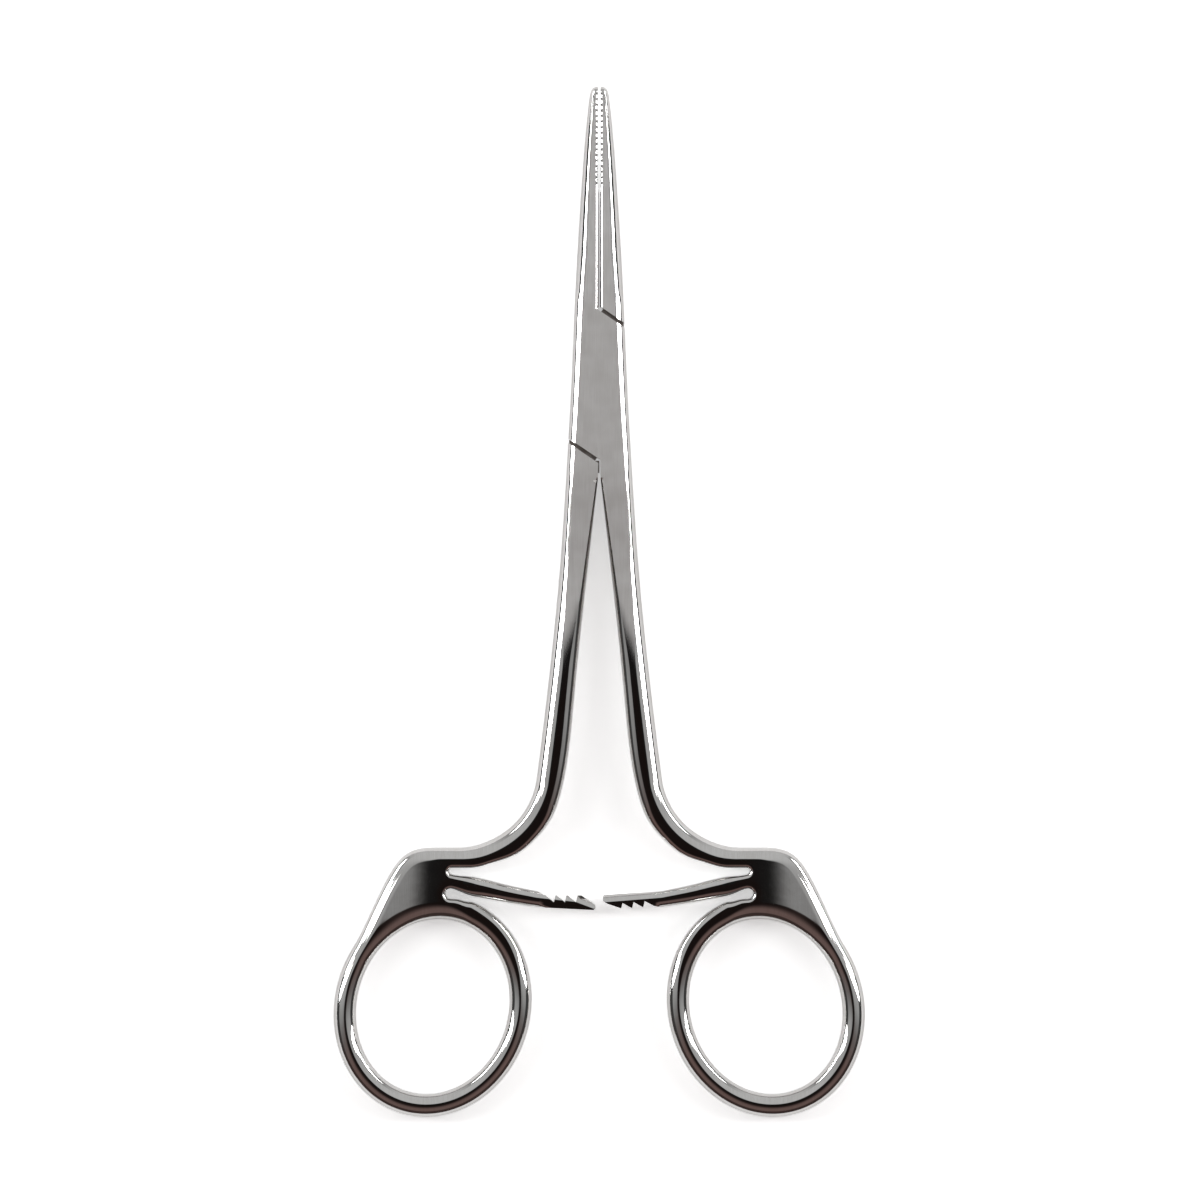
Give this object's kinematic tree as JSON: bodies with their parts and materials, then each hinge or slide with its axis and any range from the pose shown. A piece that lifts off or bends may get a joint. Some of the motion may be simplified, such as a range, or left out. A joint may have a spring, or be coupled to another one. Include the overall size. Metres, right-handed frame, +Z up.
{
  "type": "haemostatic forceps",
  "caption": "Straight box-lock haemostatic forceps with serrated jaws, finger rings and a ratchet, lying closed.",
  "frame": {"origin": "on the pivot axis of the box lock, in the plane of the box's back face, which the forceps lie on", "axes": "+Y towards the jaw tips, +Z up along the pivot axis, +X to the right of someone who looks down on the forceps with the jaws away from them"},
  "size_m": [0.0722, 0.14, 0.0044],
  "materials": {
    "female_arm": "polished",
    "male_arm": "polished",
    "lock_pin": "polished"
  },
  "bodies": {
    "box_arm": {"female_arm": "female_arm", "lock_pin": "lock_pin"},
    "tongue_arm": {"male_arm": "male_arm"}
  },
  "joints": [
    {"name": "pivot", "type": "hinge", "parent": "box_arm", "child": "tongue_arm", "pos_m": [0, 0, 0], "axis": [0, 0, -1], "range_deg": [-0.35, 45]}
  ]
}
